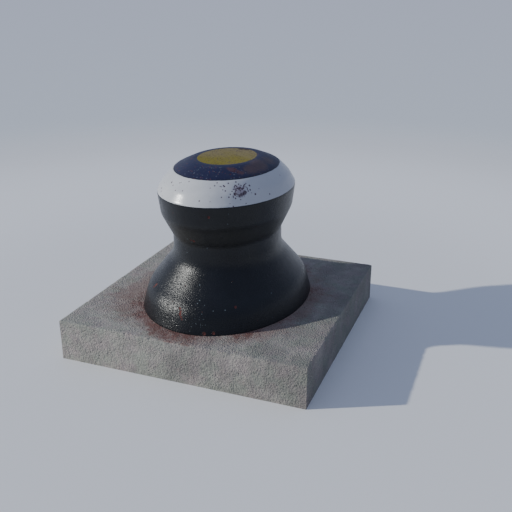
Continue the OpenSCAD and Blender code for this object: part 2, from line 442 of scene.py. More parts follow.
class Nodes:
    """Lays out the nodes of one material and joins them."""

    def __init__(self, name):
        self.material = bpy.data.materials.new(name)
        self.material.use_nodes = True
        self.tree = self.material.node_tree
        self.shader = self.tree.nodes["Principled BSDF"]
        self.place = self.tree.nodes.new("ShaderNodeTexCoord").outputs["Object"]

    def node(self, kind, inputs, **settings):
        made = self.tree.nodes.new(kind)
        for key, value in settings.items():
            setattr(made, key, value)
        for key, value in inputs.items():
            if isinstance(value, bpy.types.NodeSocket):
                self.tree.links.new(value, made.inputs[key])
            else:
                made.inputs[key].default_value = value
        return made

    def calc(self, operation, a, b=0.0, c=0.0, clamp=False):
        made = self.node("ShaderNodeMath", {0: a, 1: b, 2: c}, operation=operation, use_clamp=clamp)
        return made.outputs[0]

    def scaled(self, by):
        return self.node("ShaderNodeVectorMath", {0: self.place, 1: by}, operation="MULTIPLY").outputs[0]

    def noise(self, scale, detail=2.0, rough=0.5, vector=None):
        return self.node("ShaderNodeTexNoise", {
            "Vector": vector or self.place, "Scale": scale, "Detail": detail, "Roughness": rough,
        }).outputs[0]

    def cells(self, scale):
        """Distance to the middle of the nearest of many scattered cells, and that cell's own colour."""
        made = self.node("ShaderNodeTexVoronoi", {"Vector": self.place, "Scale": scale})
        return made.outputs["Distance"], made.outputs["Color"]

    def between(self, value, low, high, to_low=0.0, to_high=1.0, kind="SMOOTHSTEP"):
        return self.node("ShaderNodeMapRange", {
            "Value": value, "From Min": low, "From Max": high, "To Min": to_low, "To Max": to_high,
        }, interpolation_type=kind, clamp=True).outputs[0]

    def mix(self, share, a, b, blend="MIX"):
        made = self.tree.nodes.new("ShaderNodeMix")
        made.data_type = "RGBA"
        made.blend_type = blend
        for key, value in ((0, share), (6, a), (7, b)):
            if isinstance(value, bpy.types.NodeSocket):
                self.tree.links.new(value, made.inputs[key])
            elif key == 0:
                made.inputs[key].default_value = value
            else:
                made.inputs[key].default_value = (*value[:3], 1.0)
        return made.outputs[2]

    def attribute(self, name):
        return self.node("ShaderNodeAttribute", {}, attribute_name=name).outputs["Fac"]

    def parts(self, vector=None):
        made = self.node("ShaderNodeSeparateXYZ", {0: vector or self.place})
        return made.outputs[0], made.outputs[1], made.outputs[2]

    def near(self, point, radius):
        """1 at a point, fading to 0 at a distance from it."""
        away = self.node("ShaderNodeVectorMath", {0: self.place, 1: point}, operation="DISTANCE")
        return self.between(away.outputs["Value"], 0.0, radius, 1.0, 0.0)

    def bump(self, height, distance):
        return self.node("ShaderNodeBump", {"Height": height, "Distance": distance}).outputs[0]

    def finish(self, colour, roughness, normal, **constants):
        for key, value in (("Base Color", colour), ("Roughness", roughness), ("Normal", normal)):
            self.tree.links.new(value, self.shader.inputs[key])
        for key, value in constants.items():
            self.shader.inputs[key.replace("_", " ")].default_value = value
        return self.material


# Paints and stains of the casting, and the colours of its painted light, shade and sheen, beside the four colours of
# its bands
BLACK_DUST = (0.020, 0.022, 0.025)
# Lighter black round the flare under the head: painted light in the shade there
BLACK_WITH_PAINTED_LIGHT = (0.027, 0.027, 0.025)
WHITE_DUST = (0.40, 0.38, 0.37)
# Greyer white towards +X, the side away from the key light: painted shade
WHITE_IN_PAINTED_SHADE = (0.40, 0.41, 0.44)
NAVY_DUST = (0.020, 0.021, 0.040)
# Paler navy towards -X, the side towards the key light: dust and painted sheen
NAVY_DUST_AND_PAINTED_SHEEN = (0.036, 0.038, 0.060)
NAVY_RIM = (0.006, 0.006, 0.010)
NAVY_SPOTS = ((0.10, 0.105, 0.14), (0.13, 0.045, 0.045))
NAVY_RUST = (0.085, 0.030, 0.030)
NAVY_HAZE = (0.060, 0.032, 0.036)
# Tan yellow towards the back of the disc: dust and painted sheen
YELLOW_DUST_AND_PAINTED_SHEEN = (0.205, 0.160, 0.090)
YELLOW_GRIT = (0.07, 0.052, 0.02)
YELLOW_GRIME = (0.10, 0.072, 0.018)
YELLOW_SPOT = (0.045, 0.032, 0.018)
BRUISE = (0.22, 0.17, 0.215)
SORE = (0.060, 0.034, 0.044)
DISC_STAIN = (0.034, 0.019, 0.015)
PIT_FLOOR = (0.050, 0.027, 0.036)
PALE_SPECK = (0.11, 0.14, 0.15)
# Half of the width over which one band's paint runs into the next
PAINT_EDGE = 0.0005


def times(colour, by):
    return [c * by for c in colour]


class PaintNodes(Nodes):
    """Nodes of the paint, with the places and the patterns that its bands share."""

    def __init__(self, s):
        super().__init__("weathered_paint")
        self.s = s
        self.x, self.y, self.z = self.parts()
        wobble = self.calc("MULTIPLY_ADD", self.noise(38.0, 2.0), 0.0020, -0.0010)
        self.height = self.calc("ADD", self.calc("SUBTRACT", self.z, DECK), wobble)
        across = self.scaled((1.0, 1.0 / DRAWN_OUT, 0.0))
        reach = self.node("ShaderNodeVectorMath", {0: across}, operation="LENGTH").outputs["Value"]
        self.on_white = self.past(self.height, s.rim_line)
        self.on_navy = self.past(self.height, s.brow_line)
        self.on_disc = self.past(self.calc("ADD", reach, wobble), s.disc_half_width, 1.0, 0.0)
        self.cloud = self.noise(9.0, 4.0, 0.6)
        self.fine = self.noise(70.0, 3.0, 0.6)
        self.grain = self.noise(240.0, 3.0, 0.65)
        self.ragged = self.calc("MULTIPLY_ADD", self.grain, 0.9, -0.45)
        self.scuffed = self.calc("MULTIPLY_ADD", self.noise(110.0, 5.0, 0.8), 2.4, -1.2)
        # Band round the middle of the flare, under the head: painted light in its shade, and rougher paint
        off_flare = self.calc("ABSOLUTE", self.calc("SUBTRACT", self.height, FLARE_MIDDLE))
        self.painted_light_band = self.between(off_flare, 0.012, 0.075, 1.0, 0.0)
        # Small round spots: a share of the cells holds one, by the lot that each cell draws
        distance, own = self.cells(120.0)
        self.lot, size, self.spot_tone = self.parts(own)
        edge = self.calc("SUBTRACT", distance, self.calc("MULTIPLY", size, 0.24))
        self.spot = self.between(edge, 0.14, 0.26, 1.0, 0.0)
        self.rust = self.between(self.calc("ADD", self.attribute("rust"), self.ragged), 0.42, 0.62)
        self.pale = self.between(self.calc("ADD", self.attribute("pale"), self.ragged), 0.5, 0.7)
        self.pit = self.attribute("pit")

    def past(self, value, line, before=0.0, after=1.0):
        """One number before a line and another past it, with a sharp step between them."""
        return self.between(value, line - PAINT_EDGE, line + PAINT_EDGE, before, after)

    def near_mark(self, mark, reach=1.0):
        degrees, height, radius = mark
        return self.near(place_on_oval(degrees, height), reach * radius)

    def black(self):
        s = self.s
        colour = self.mix(self.between(self.cloud, 0.35, 0.7), s.black, [c * 1.7 + 0.0006 for c in s.black])
        colour = self.mix(self.between(self.fine, 0.60, 0.85, 0.0, 0.6), colour, BLACK_DUST)
        # Painted light: lighter black in the shaded band under the head
        return self.mix(self.painted_light_band, colour, BLACK_WITH_PAINTED_LIGHT)

    def white(self):
        s = self.s
        colour = self.mix(self.between(self.cloud, 0.35, 0.75), s.white, times(s.white, 0.90))
        colour = self.mix(self.between(self.fine, 0.62, 0.85, 0.0, 0.6), colour, WHITE_DUST)
        # Painted shade: greyer towards +X, away from the key light
        return self.mix(self.between(self.x, 0.05, 0.28, 0.0, 0.85), colour, WHITE_IN_PAINTED_SHADE)

    def navy(self):
        s = self.s
        colour = self.mix(self.between(self.cloud, 0.35, 0.7), s.navy, times(s.navy, 1.3))
        colour = self.mix(self.between(self.fine, 0.55, 0.80, 0.0, 0.7), colour, NAVY_DUST)
        # Dust and painted sheen: paler towards -X, the side towards the key light
        colour = self.mix(self.between(self.x, -0.20, -0.03, 0.55, 0.0), colour, NAVY_DUST_AND_PAINTED_SHEEN)
        above = self.calc("SUBTRACT", self.height, s.brow_line)
        colour = self.mix(self.between(above, 0.0015, 0.0040, 0.75, 0.0), colour, NAVY_RIM)
        few = self.calc("MULTIPLY", self.spot, self.between(self.lot, 0.72, 0.74))
        paint = self.mix(self.between(self.spot_tone, 0.45, 0.55), *NAVY_SPOTS)
        colour = self.mix(self.calc("MULTIPLY", few, 0.75), colour, paint)
        for marks, low, high, most, paint in (
            (RUST_PATCHES, 0.62, 1.05, 0.70, NAVY_RUST), (RUST_HAZES, 0.25, 0.95, 0.90, NAVY_HAZE),
        ):
            share = self.scuffed
            for mark in marks:
                share = self.calc("ADD", share, self.near_mark(mark))
            colour = self.mix(self.between(share, low, high, 0.0, most), colour, paint)
        return colour

    def yellow(self):
        s = self.s
        colour = self.mix(self.between(self.fine, 0.45, 0.75), s.yellow, times(s.yellow, 0.80))
        # Dust and painted sheen: tan towards the back (+Y) of the disc
        dust_and_sheen = self.between(self.calc("MULTIPLY_ADD", self.cloud, 0.45, self.y), 0.06, 0.36)
        colour = self.mix(self.calc("MULTIPLY", dust_and_sheen, 0.75), colour, YELLOW_DUST_AND_PAINTED_SHEEN)
        colour = self.mix(self.between(self.grain, 0.57, 0.68, 0.0, 0.7), colour, YELLOW_GRIT)
        colour = self.mix(self.between(self.noise(48.0, 4.0, 0.75), 0.52, 0.70, 0.0, 0.45), colour, YELLOW_GRIME)
        more = self.calc("MULTIPLY", self.spot, self.between(self.lot, 0.52, 0.54))
        return self.mix(self.calc("MULTIPLY", more, 0.85), colour, YELLOW_SPOT)

    def stained(self, colour):
        """The bands with the bruise of the white one and the rust at the edge of the disc."""
        bruise = self.calc("MULTIPLY_ADD", self.scuffed, 0.8, self.near_mark(WHITE_BRUISE))
        share = self.calc("MULTIPLY", self.on_white, self.between(bruise, 0.15, 0.85, 0.0, 0.70))
        colour = self.mix(share, colour, BRUISE)
        sore = self.calc("MULTIPLY", self.scuffed, 0.55)
        for mark in SORE_BLOTCHES:
            sore = self.calc("ADD", sore, self.near_mark(mark, 4.2))
        share = self.calc("MULTIPLY", self.on_white, self.between(sore, 0.50, 0.95, 0.0, 0.85))
        colour = self.mix(share, colour, SORE)
        for x, y, radius in DISC_RUST:
            at_edge = self.calc("ADD", self.near((x, y, CROWN), radius), self.calc("MULTIPLY", self.scuffed, 0.5))
            colour = self.mix(self.between(at_edge, 0.35, 0.75, 0.0, 0.9), colour, DISC_STAIN)
        return colour

    def marked(self, colour):
        """The stained bands with what fills the chips and pits."""
        s = self.s
        tone = self.between(self.noise(120.0, 3.0, 0.7), 0.35, 0.65)
        colour = self.mix(self.between(self.pit, 0.02, 0.60, 0.0, 0.70), colour, BRUISE)
        deep = self.calc("MULTIPLY_ADD", self.ragged, 0.4, self.pit)
        colour = self.mix(self.between(deep, 0.35, 0.85, 0.0, 0.9), colour, PIT_FLOOR)
        colour = self.mix(self.pale, colour, PALE_SPECK)
        return self.mix(self.rust, colour, self.mix(tone, s.rust, times(s.rust, 0.45)))

    def roughness(self):
        rough = self.between(self.noise(60.0, 3.0), 0.3, 0.7, 0.27, 0.34, "LINEAR")
        for place, more in ((self.on_navy, 0.24), (self.on_white, -0.07), (self.painted_light_band, 0.16), (self.on_disc, 0.26)):
            rough = self.calc("ADD", rough, self.calc("MULTIPLY", place, more))
        spoilt = self.calc("MAXIMUM", self.calc("MAXIMUM", self.rust, self.pale), self.between(self.pit, 0.3, 0.7))
        return self.calc("ADD", rough, self.calc("MULTIPLY", spoilt, 0.40), clamp=True)

    def relief(self):
        """Orange peel of the paint, scabs of rust, and the soft swells, as a height in metres."""
        peel = self.calc("MULTIPLY", self.noise(190.0, 2.5, 0.65), self.past(self.height, self.s.rim_line, 1.0, 0.15))
        scab = self.calc("MULTIPLY", self.calc("MULTIPLY", self.noise(420.0, 3.0, 0.7), self.rust), 1.2)
        coarse = self.between(self.z, DECK + 0.05, DECK + 0.21, 0.0016, 0.0014)
        relief = self.calc("MULTIPLY", self.calc("ADD", peel, scab), coarse)
        for low, high, out in SWELLS:
            relief = self.calc("ADD", relief, self.between(self.z, DECK + low, DECK + high, 0.0, out))
        return relief


def paint_material(s):
    """Marine paint in four colours on the iron, with its chips, pits and grime, and painted light, shade and sheen.
    """
    n = PaintNodes(s)
    colour = n.mix(n.on_white, n.black(), n.white())
    colour = n.mix(n.on_navy, colour, n.navy())
    colour = n.mix(n.on_disc, colour, n.yellow())
    colour = n.marked(n.stained(colour))
    return n.finish(colour, n.roughness(), n.bump(n.relief(), 1.0), Specular_IOR_Level=0.37)


PRIMER = (0.045, 0.035, 0.03)
MOULD_SAND = (0.02, 0.018, 0.017)


def raw_iron_material(s):
    """Inside of the casting: sand-rough iron under a thin dark primer."""
    n = Nodes("raw_iron")
    coarse = n.noise(30.0, 4.0, 0.6)
    grain = n.noise(300.0, 3.0, 0.7)
    colour = n.mix(n.between(coarse, 0.35, 0.65), PRIMER, times(s.rust, 0.7))
    colour = n.mix(n.between(grain, 0.55, 0.75), colour, MOULD_SAND)
    rough = n.between(grain, 0.3, 0.7, 0.7, 0.95, "LINEAR")
    return n.finish(colour, rough, n.bump(grain, 0.0006))


# Greener and redder cement, dark grit, and the shade in air holes
CEMENT_TINTS = ((0.92, 1.0, 0.95), (1.04, 0.98, 1.02))
GRIT = (0.05, 0.048, 0.045)
HOLE_SHADE = (0.06, 0.057, 0.052)


def concrete_material(s):
    """Cast concrete: cement skin, grit, air holes, rust washed round the foot, and painted shade towards +X."""
    n = Nodes("stained_concrete")
    mottle = n.noise(6.0, 5.0, 0.6)
    patches = n.noise(26.0, 4.0, 0.65)
    grit = n.noise(170.0, 4.0, 0.8)
    x, _, _ = n.parts()
    hue = n.noise(14.0, 3.0, 0.6)
    specks, speck_colour = n.cells(190.0)

    colour = n.mix(n.between(grit, 0.36, 0.62, 0.10, 0.60, "LINEAR"), s.pale, s.dark)
    # Darker towards +X, away from the key light: painted shade, broken up by a random damp mottle
    damp_and_shade = n.calc("MULTIPLY_ADD", x, 0.34, mottle)
    colour = n.mix(n.between(damp_and_shade, 0.35, 0.75, 0.0, 0.75), colour, s.dark)
    colour = n.mix(n.between(patches, 0.50, 0.75, 0.0, 0.35), colour, s.dark)
    colour = n.mix(1.0, colour, n.mix(n.between(hue, 0.3, 0.7), *CEMENT_TINTS), "MULTIPLY")
    speck_tone, _, _ = n.parts(speck_colour)
    speck = n.calc("MULTIPLY", n.between(specks, 0.18, 0.34, 1.0, 0.0), n.between(speck_tone, 0.78, 0.82))
    colour = n.mix(n.calc("MULTIPLY", speck, 0.75), colour, GRIT)

    wash = n.noise(25.0, 6.0, 0.72)
    dots = n.noise(175.0, 3.0, 0.75)
    seep = n.calc("ADD", n.attribute("wash"), n.calc("MULTIPLY_ADD", wash, 2.0, -1.05))
    colour = n.mix(n.between(seep, 0.10, 0.90, 0.0, 0.75), colour, s.wash)
    fresh = n.calc("ADD", n.attribute("stain"), n.calc("MULTIPLY_ADD", wash, 3.2, -1.80))
    fresh = n.calc("ADD", fresh, n.calc("MULTIPLY_ADD", dots, 3.0, -1.50))
    colour = n.mix(n.between(fresh, 0.35, 1.05, 0.0, 0.85), colour, s.stain)
    hole = n.attribute("hole")
    colour = n.mix(n.between(hole, 0.3, 0.9, 0.0, 0.75), colour, HOLE_SHADE)

    rough = n.between(grit, 0.3, 0.7, 0.82, 0.96, "LINEAR")
    relief = n.calc("MULTIPLY_ADD", grit, 0.25, n.noise(150.0, 1.5, 0.55))
    relief = n.calc("MULTIPLY", relief, n.between(n.noise(9.0, 3.0, 0.6), 0.35, 0.65, 0.55, 1.15))
    height = n.calc("ADD", relief, n.calc("MULTIPLY", speck, -0.15))
    return n.finish(colour, rough, n.bump(height, 0.0092), Specular_IOR_Level=0.3)


CEMENT_FILM = (0.16, 0.14, 0.13)


def steel_material(s):
    """Mill-finished steel of the anchors, dulled by the cement round it."""
    n = Nodes("anchor_steel_finish")
    scale = n.noise(90.0, 4.0, 0.65)
    grain = n.noise(500.0, 2.0, 0.6, n.scaled((1.0, 1.0, 0.2)))
    colour = n.mix(n.between(scale, 0.4, 0.65), s.steel, CEMENT_FILM)
    rough = n.between(scale, 0.3, 0.7, 0.38, 0.62, "LINEAR")
    return n.finish(colour, rough, n.bump(grain, 0.0001), Metallic=0.85)


def floor_material(s):
    """Pale smooth floor that fades into the backdrop at its rim."""
    n = Nodes("pale_floor")
    away = n.node("ShaderNodeVectorMath", {0: n.place}, operation="LENGTH").outputs["Value"]
    # Painted light: the floor lighter from 1.2 m out and darker again past 2.6 m
    colour = n.mix(n.between(away, 1.2, 2.4), s.floor, times(s.floor, 1.07))
    colour = n.mix(n.between(away, 2.6, 4.2), colour, times(s.floor, 0.94))
    n.tree.links.new(colour, n.shader.inputs["Base Color"])
    n.shader.inputs["Roughness"].default_value = 0.8
    n.shader.inputs["Specular IOR Level"].default_value = 0.2
    gone = n.between(away, s.floor_radius * 0.55, s.floor_radius * 0.98)
    clear = n.node("ShaderNodeBsdfTransparent", {}).outputs[0]
    both = n.node("ShaderNodeMixShader", {0: gone, 1: n.shader.outputs[0], 2: clear}).outputs[0]
    n.tree.links.new(both, n.tree.nodes["Material Output"].inputs["Surface"])
    return n.material


# The casting


def casting_marks(s):
    """Chips and pits in the paint: those that stand out, clusters round them, and a thin scatter all over."""
    dice = random.Random(s.seed)
    marks = []
    highest = CROWN - DECK - 0.002

    def add(degrees, height, radius, depth, kind):
        marks.append(Mark(place_on_oval(degrees, min(height, highest)), radius, depth, kind))

    def cluster(kind, count, degrees, spread_degrees, height, spread_height, least, most):
        for _ in range(count):
            add(
                dice.gauss(degrees, spread_degrees), dice.gauss(height, spread_height),
                dice.uniform(least, most), dice.uniform(0.0006, 0.0014), kind,
            )

    for kind, depth, places in (
        ("pit", 0.0010, SORE_BLOTCHES + BLOTCHES), ("rust", 0.0010, RUST_CHIPS), ("pale", 0.0004, PALE_SPECKS),
        ("bare", 0.0016, BARE_PITS),
    ):
        for degrees, height, radius in places:
            add(degrees, height, radius, depth, kind)
    for x, y, radius in DISC_SPECKS:
        marks.append(Mark((x, y, CROWN), radius, 0.0008, "pit"))
    # Pits in and round the sore place of the white band, on the side towards the camera
    cluster("pit", 34, 309.5, 2.7, 0.564, 0.012, 0.0020, 0.0044)
    cluster("pit", 20, 306, 7.0, 0.570, 0.018, 0.0018, 0.0036)
    # Specks in the navy beside the disc
    cluster("rust", 12, 307, 5.0, 0.622, 0.006, 0.0018, 0.0036)
    cluster("rust", 8, 280, 12.0, 0.624, 0.006, 0.0014, 0.0022)
    cluster("pale", 8, 280, 14.0, 0.626, 0.006, 0.0014, 0.0024)
    # Fine pale specks on the low bell
    cluster("pale", 26, 278, 5.0, 0.050, 0.018, 0.0010, 0.0019)
    # Pits without rust on the low bell, where the paint lies thin
    cluster("bare", 80, 256, 7.0, 0.082, 0.030, 0.0020, 0.0036)
    cluster("bare", 60, 75, 25.0, 0.080, 0.035, 0.0020, 0.0036)
    cluster("bare", 16, 336, 5.0, 0.185, 0.022, 0.0018, 0.0034)
    # A scatter over all of the casting
    for kind, count, low, high in (
        ("rust", 34, 0.01, 0.50), ("pit", 34, 0.516, 0.595), ("rust", 14, 0.605, 0.630), ("pale", 46, 0.01, 0.50),
    ):
        for _ in range(count):
            add(dice.uniform(0, 360), dice.uniform(low, high), dice.uniform(0.0016, 0.0028), 0.0006, kind)
    for _ in range(18):
        reach, t = 0.12 * math.sqrt(dice.random()), dice.uniform(0, 2 * math.pi)
        place = (reach * math.cos(t), DRAWN_OUT * reach * math.sin(t), CROWN)
        marks.append(Mark(place, dice.uniform(0.0014, 0.0026), 0.0006, "pit"))
    return marks


# Width of facet below which a ring gets half as many, and the least that a ring keeps
LEAST_FACET = 0.0022
LEAST_COUNT = 20
# Waves to the metre of the mould's surface, long and short, and the depth of the short ones
MOULD_WAVES = 17.0
MOULD_RIPPLES = 95.0
RIPPLE_DEPTH = 0.00012


def build_casting(s):
    """Fine outside of the casting, joined to the inside that was packed."""
    outline = evenly(rounded(BENDS), s.row_height)
    surface = Surface()
    # The fine outside starts a little below the deck, out of sight in the recess
    below = surface.ring(oval_ring(FOOT, DECK - (DECK - SEAT) / 4, s.facets))
    count = s.facets
    for half, height in outline[:-1]:
        while count > LEAST_COUNT and 2 * math.pi * half / count < LEAST_FACET:
            count //= 2
        ring = surface.ring(oval_ring(half, DECK + height, count))
        surface.join(below, ring)
        below = ring
    surface.close(below)

    def relief(p):
        wave = noise.fractal(p * MOULD_WAVES, 1.0, 2.0, 3)
        return s.waviness * (1.0 + 0.75 * wave) + RIPPLE_DEPTH * noise.noise(p * MOULD_RIPPLES)

    return surface_mesh(surface, "bollard_skin", casting_marks(s), ("rust", "pale", "pit"), 1.3, 2, relief)


# Well more than the outside strays from its outline, and well less than the wall
SKIN = 0.010


def is_casting_outside(middle):
    """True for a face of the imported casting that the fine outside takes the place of."""
    if middle[2] < SEAT + HAIR:
        return False
    reach = oval_distance(middle)
    if middle[2] <= DECK:
        return reach > FOOT - SKIN / 2
    half = float(np.interp(middle[2] - DECK, OUTLINE[:, 1], OUTLINE[:, 0]))
    return reach > half - SKIN or middle[2] > CROWN - SKIN


# The block


def square_ring(half, height, count):
    """Ring round a square, with a point on every corner, that starts in the middle of its +X side."""
    side = count // 4
    points = []
    for i in range(count):
        quarter, along = divmod(i + side // 2, side)
        a, b = half, half * (2 * along / side - 1)
        x, y = ((a, b), (-b, a), (-a, -b), (b, -a))[quarter % 4]
        points.append((x, y, height))
    return points


def block_marks(s):
    """Air holes in the concrete and small chips along its edges."""
    dice = random.Random(s.seed)
    marks = []
    edge = HALF_BLOCK
    for _ in range(170):
        side = dice.choice((0, 1, 2, 3, 4, 4))
        a, h = dice.uniform(-edge + 0.01, edge - 0.01), dice.uniform(0.012, DECK - 0.012)
        if side == 4:
            place = (a, dice.uniform(-edge + 0.01, edge - 0.01), DECK)
            if oval_distance(place) < FOOT + 0.008:
                continue
        else:
            place = ((edge, a, h), (a, edge, h), (-edge, a, h), (a, -edge, h))[side]
        marks.append(Mark(place, dice.uniform(0.0016, 0.0040), dice.uniform(0.0012, 0.003), "hole"))
    for _ in range(26):
        a = dice.uniform(-edge, edge)
        x, y = dice.choice(((edge, a), (a, edge), (-edge, a), (a, -edge)))
        marks.append(Mark((x, y, DECK), dice.uniform(0.005, 0.011), dice.uniform(0.001, 0.0035), "chip"))
    return marks


# Waves to the metre of the block's surface, long, short and along its worn edges, and the depths of the last two
SHUTTER_WAVES = 11.0
GRAIN_WAVES = 90.0
EDGE_WAVES = 30.0
GRAIN_DEPTH = 0.00025
EDGE_DEPTH = 0.0012
# Width of the band along the upper edges that is worn
EDGE_BAND = 0.006


def build_block(s):
    """Fine deck and sides of the block, up to the edge of the recess that the foot stands in."""
    surface = Surface()
    half, arris, count = HALF_BLOCK, s.arris, s.facets - s.facets % 8
    low, high = BLOCK_LOW.z, DECK - arris
    rings = [(half, low + (high - low) * i / s.rows) for i in range(s.rows + 1)]
    rings += [(half - 0.3 * arris, DECK - 0.3 * arris), (half - arris, DECK)]
    below = None
    for reach, height in rings:
        ring = surface.ring(square_ring(reach, height, count))
        if below is None:
            surface.faces.append(tuple(reversed(ring)))
        else:
            surface.join(below, ring)
        below = ring
    outer = [Vector(surface.points[i]) for i in below]
    inner = []
    for p in outer:
        share = FOOT / oval_distance(p)
        inner.append(Vector((p.x * share, p.y * share, DECK)))
    for k in range(1, s.rings + 1):
        share = (k / s.rings) ** 0.9
        ring = surface.ring([tuple(a.lerp(b, share)) for a, b in zip(outer, inner)])
        surface.join(below, ring)
        below = ring

    def relief(p):
        if p.z < BLOCK_LOW.z + 2 * HAIR:
            return 0.0
        wave = noise.fractal(p * SHUTTER_WAVES, 1.0, 2.0, 3)
        grain = noise.fractal(p * GRAIN_WAVES, 1.0, 2.0, 2)
        on_edge = max(abs(p.x), abs(p.y)) > HALF_BLOCK - EDGE_BAND and p.z > DECK - EDGE_BAND
        worn = EDGE_DEPTH * max(0.0, noise.fractal(p * EDGE_WAVES, 1.0, 2.0, 3)) if on_edge else 0.0
        return 0.0002 + s.waviness * 0.5 * (1.0 + 0.8 * wave) + GRAIN_DEPTH * grain + worn

    return surface_mesh(surface, "block_skin", block_marks(s), ("hole", "wash", "stain"), 1.2, 1, relief)


def is_recess(middle):
    """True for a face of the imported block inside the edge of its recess, or in its closed hollows."""
    return middle[2] > BLOCK_LOW.z + 2 * HAIR and oval_distance(middle) < FOOT + 1.2 * HAIR


def spread(point, rust):
    """How much of the rust of a list lies at a point of the deck."""
    turn = math.degrees(2 * math.pi * turn_of(point))
    beyond = max(0.0, oval_distance(point) - FOOT)
    return sum(
        weight * math.exp(-((((turn - degrees + 180) % 360) - 180) / wide) ** 2 - (beyond / reach) ** 2)
        for degrees, wide, reach, weight in rust
    )


# Pieces from a fine outside and a packed inside


def joined(name, skin, inside, inside_below):
    """One closed mesh of a fine outside and a packed inside, whose open edges are joined ring to ring."""
    points, faces = inside
    bm = bmesh.new()
    bm.from_mesh(skin)
    for face in bm.faces:
        face.smooth = True
        face.material_index = 0
    rim = sorted(
        {v for e in bm.edges if len(e.link_faces) == 1 for v in e.verts},
        key=lambda v: turn_of(v.co),
    )
    verts = [bm.verts.new(p) for p in points]
    for f in faces:
        made = bm.faces.new([verts[i] for i in f])
        made.smooth = True
        made.material_index = 1
    mouth = [verts[i] for i in sorted(open_edge(faces), key=lambda i: turn_of(points[i]))]
    low, high = (mouth, rim) if inside_below else (rim, mouth)
    band = Surface()
    low_ring = band.ring([tuple(v.co) for v in low])
    high_ring = band.ring([tuple(v.co) for v in high])
    back = dict(zip(low_ring + high_ring, low + high))
    band.join(low_ring, high_ring)
    for f in band.faces:
        made = bm.faces.new([back[i] for i in f])
        made.smooth = True
        made.material_index = 0
    bmesh.ops.triangulate(bm, faces=[f for f in bm.faces if len(f.verts) > 4])
    bm.to_mesh(skin)
    bm.free()
    skin.name = name
    skin.set_sharp_from_angle(angle=math.radians(40))
    return skin


def show(mesh, name, materials, replaced):
    """Piece of the visual model, riding on the one body."""
    piece = bpy.data.objects.new(name, mesh)
    bpy.context.scene.collection.objects.link(piece)
    for material in materials:
        mesh.materials.append(material)
    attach(piece, "root")
    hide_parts(replaced)
    return piece


# Maps for baking: each face has a place on a square sheet, in metres


MAP_NAME = "OFBake"
CASTING_SHEET = 1.78
BLOCK_SHEET = 1.5
# How much smaller than life the hidden faces are laid out
HIDDEN_SHARE = 0.36

# The wall of the casting is laid out as three strips, each a third of the way round, beside its crown and its inside
OUTLINE_LENGTH = np.concatenate([[0.0], np.cumsum(np.linalg.norm(np.diff(OUTLINE, axis=0), axis=1))])
STRIPS = [(0.012, 0.006), (0.902, 0.006), (0.012, 0.806)]
STRIP_WIDTH = 0.865
CROWN_MIDDLE = (1.12, 1.10)
INSIDE_MIDDLE = (1.56, 1.10)
BROW = DECK + BENDS[-3][1]

# The sides of the block are laid out above its deck and to the right of it, in two rows, and the faces that the
# casting or the floor hides in the middle of the deck
DECK_MIDDLE = HALF_BLOCK + 0.003
SIDE_START = 2 * DECK_MIDDLE + 0.004
SIDE_STEP = 0.192
RECESS_MIDDLE = (DECK_MIDDLE, DECK_MIDDLE - 0.22)
UNDERSIDE_MIDDLE = (DECK_MIDDLE, DECK_MIDDLE + 0.16)
# Share of a normal along Z above which a face counts as level
LEVEL = 0.7


def flat_place(p, normal, middle, share):
    """Place of a point seen along the axis that its face looks along most."""
    across, up = ((p.y, p.z), (p.x, p.z), (p.x, p.y))[max(range(3), key=lambda i: abs(normal[i]))]
    return middle[0] + share * across, middle[1] + share * up


def casting_place(face, p, centre):
    """Place on the sheet of a corner of a face of the casting."""
    if face.material_index == 1 or centre.z < DECK:
        return flat_place(p, face.normal, INSIDE_MIDDLE, HIDDEN_SHARE)
    if centre.z > BROW:
        return CROWN_MIDDLE[0] + p.x, CROWN_MIDDLE[1] + p.y
    turn = turn_of(centre)
    strip = min(len(STRIPS) - 1, int(turn * len(STRIPS)))
    # The corner's own place round the oval, on the same side of the seam as its face
    own = turn + (turn_of(p) - turn + 0.5) % 1.0 - 0.5
    along = float(np.interp(p.z - DECK, OUTLINE[:, 1], OUTLINE_LENGTH))
    left, low = STRIPS[strip]
    return left + (own * len(STRIPS) - strip) * STRIP_WIDTH, low + along


def block_place(face, p, centre):
    """Place on the sheet of a corner of a face of the block."""
    level = abs(face.normal.z) > LEVEL
    if face.material_index == 1 or oval_distance(centre) < FOOT - HAIR and centre.z > 2 * HAIR:
        return flat_place(p, face.normal, RECESS_MIDDLE, HIDDEN_SHARE)
    if centre.z < BLOCK_LOW.z + 2 * HAIR and level:
        return UNDERSIDE_MIDDLE[0] + HIDDEN_SHARE * p.x, UNDERSIDE_MIDDLE[1] + HIDDEN_SHARE * p.y
    well_in = max(abs(centre.x), abs(centre.y)) < HALF_BLOCK - 0.004
    if centre.z > DECK - 0.012 and (well_in or level):
        return DECK_MIDDLE + p.x, DECK_MIDDLE + p.y
    if abs(centre.x) > abs(centre.y):
        return SIDE_START + p.z + (SIDE_STEP if centre.x < 0 else 0.0), DECK_MIDDLE + p.y
    return DECK_MIDDLE + p.x, SIDE_START + p.z + (SIDE_STEP if centre.y < 0 else 0.0)


def lay_out(mesh, place, side):
    """Gives a mesh its map for baking."""
    layer = mesh.uv_layers.new(name=MAP_NAME)
    uv = np.empty(len(mesh.loops) * 2, np.float32)
    for face in mesh.polygons:
        centre = face.center
        for corner in face.loop_indices:
            u, v = place(face, mesh.vertices[mesh.loops[corner].vertex_index].co, centre)
            uv[2 * corner], uv[2 * corner + 1] = u / side, v / side
    layer.data.foreach_set("uv", uv)


# Stage


